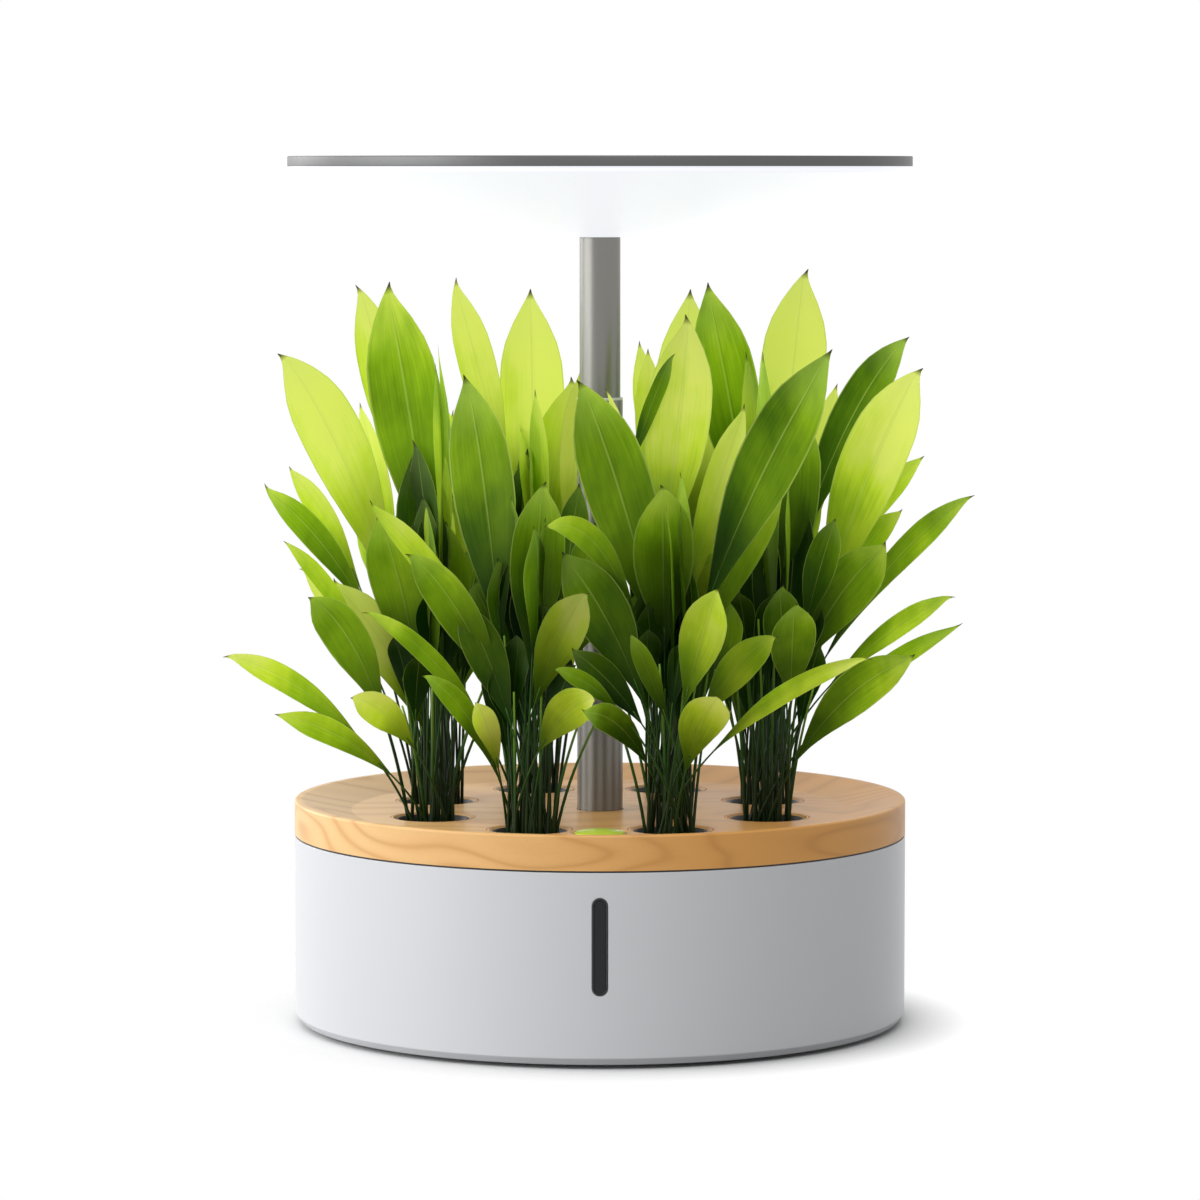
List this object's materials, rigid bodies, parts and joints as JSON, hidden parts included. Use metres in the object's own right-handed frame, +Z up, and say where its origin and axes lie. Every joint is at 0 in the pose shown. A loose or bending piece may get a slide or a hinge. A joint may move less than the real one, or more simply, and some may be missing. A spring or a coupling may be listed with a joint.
{
  "type": "countertop hydroponic garden",
  "caption": "Round water tub with a level window, a wooden planting tray of lift-out pods with leafy plants, and a disc grow lamp on a telescopic mast.",
  "frame": {"origin": "middle of the tub's footprint on the counter", "axes": "+Z up along the mast; the front, with the level window and the button, faces -Y; +X to the right seen from the front"},
  "size_m": [0.341, 0.284, 0.396],
  "materials": {
    "tub_plastic": "satin moulded light grey",
    "wood": "satin varnish over straight and cathedral grain",
    "deck_plastic": "moulded black",
    "rubber": "matt",
    "smoked_window": "clear smoked",
    "tube_steel": "satin drawn",
    "bearing_nylon": "natural",
    "lamp_metal": "satin",
    "diffuser_plastic": "translucent white",
    "hub_plastic": "moulded white",
    "board": "white solder mask",
    "chip": "phosphor",
    "screw_steel": "plain",
    "button_green": "clear-coated lime green",
    "switch_black": "plain",
    "housing_plastic": "moulded charcoal",
    "pump_plastic": "moulded black",
    "riser_silicone": "clear silicone",
    "cup_plastic": "moulded dark grey",
    "sponge": "damp dark foam",
    "leaf": "living leaf"
  },
  "bodies": {
    "base": {"reservoir_tub": "tub_plastic", "rubber_feet": "rubber", "window_gasket": "rubber", "level_window": "smoked_window"},
    "deck": {"planter_deck": "deck_plastic", "tray_rim": "wood", "tray_floor": "wood", "tray_screws": "screw_steel", "mast_socket": "deck_plastic", "mast_screws": "screw_steel", "lower_tube": "tube_steel", "mast_bush": "bearing_nylon", "button_switch": "switch_black", "control_box": "housing_plastic", "circuit_board": "board", "power_inlet": "switch_black", "pump_body": "pump_plastic", "pump_strainer": "pump_plastic", "riser_tube": "riser_silicone"},
    "lamp_head": {"upper_tube": "tube_steel", "slide_bush": "bearing_nylon", "lamp_cover": "lamp_metal", "diffuser": "diffuser_plastic", "led_board": "board", "led_chips": "chip", "lamp_hub": "hub_plastic", "lamp_screws": "screw_steel"},
    "button": {"control_button": "button_green"},
    "pod_1": {"net_cup_1": "cup_plastic", "grow_sponge_1": "sponge", "foliage_1": "leaf"},
    "pod_2": {"net_cup_2": "cup_plastic", "grow_sponge_2": "sponge", "foliage_2": "leaf"},
    "pod_3": {"net_cup_3": "cup_plastic", "grow_sponge_3": "sponge", "foliage_3": "leaf"},
    "pod_4": {"net_cup_4": "cup_plastic", "grow_sponge_4": "sponge", "foliage_4": "leaf"},
    "pod_5": {"net_cup_5": "cup_plastic", "grow_sponge_5": "sponge", "foliage_5": "leaf"},
    "pod_6": {"net_cup_6": "cup_plastic", "grow_sponge_6": "sponge", "foliage_6": "leaf"},
    "pod_7": {"net_cup_7": "cup_plastic", "grow_sponge_7": "sponge", "foliage_7": "leaf"},
    "pod_8": {"net_cup_8": "cup_plastic", "grow_sponge_8": "sponge", "foliage_8": "leaf"}
  },
  "joints": [
    {"name": "deck_lift", "type": "slide", "parent": "base", "child": "deck", "axis": [0, 0, 1], "range_m": [0, 0.12]},
    {"name": "mast_slide", "type": "slide", "parent": "deck", "child": "lamp_head", "axis": [0, 0, 1], "range_m": [-0.02, 0.085]},
    {"name": "button_press", "type": "slide", "parent": "deck", "child": "button", "axis": [0, 0, -1], "range_m": [0, 0.0015], "stiffness_N_per_m": 800, "springref_m": -0.0006},
    {"name": "pod_1_lift", "type": "slide", "parent": "deck", "child": "pod_1", "axis": [0, 0, 1], "range_m": [0, 0.065], "deforming": ["foliage_1"]},
    {"name": "pod_2_lift", "type": "slide", "parent": "deck", "child": "pod_2", "axis": [0, 0, 1], "range_m": [0, 0.065], "deforming": ["foliage_2"]},
    {"name": "pod_3_lift", "type": "slide", "parent": "deck", "child": "pod_3", "axis": [0, 0, 1], "range_m": [0, 0.065], "deforming": ["foliage_3"]},
    {"name": "pod_4_lift", "type": "slide", "parent": "deck", "child": "pod_4", "axis": [0, 0, 1], "range_m": [0, 0.065], "deforming": ["foliage_4"]},
    {"name": "pod_5_lift", "type": "slide", "parent": "deck", "child": "pod_5", "axis": [0, 0, 1], "range_m": [0, 0.065], "deforming": ["foliage_5"]},
    {"name": "pod_6_lift", "type": "slide", "parent": "deck", "child": "pod_6", "axis": [0, 0, 1], "range_m": [0, 0.065], "deforming": ["foliage_6"]},
    {"name": "pod_7_lift", "type": "slide", "parent": "deck", "child": "pod_7", "axis": [0, 0, 1], "range_m": [0, 0.065], "deforming": ["foliage_7"]},
    {"name": "pod_8_lift", "type": "slide", "parent": "deck", "child": "pod_8", "axis": [0, 0, 1], "range_m": [0, 0.065], "deforming": ["foliage_8"]}
  ]
}
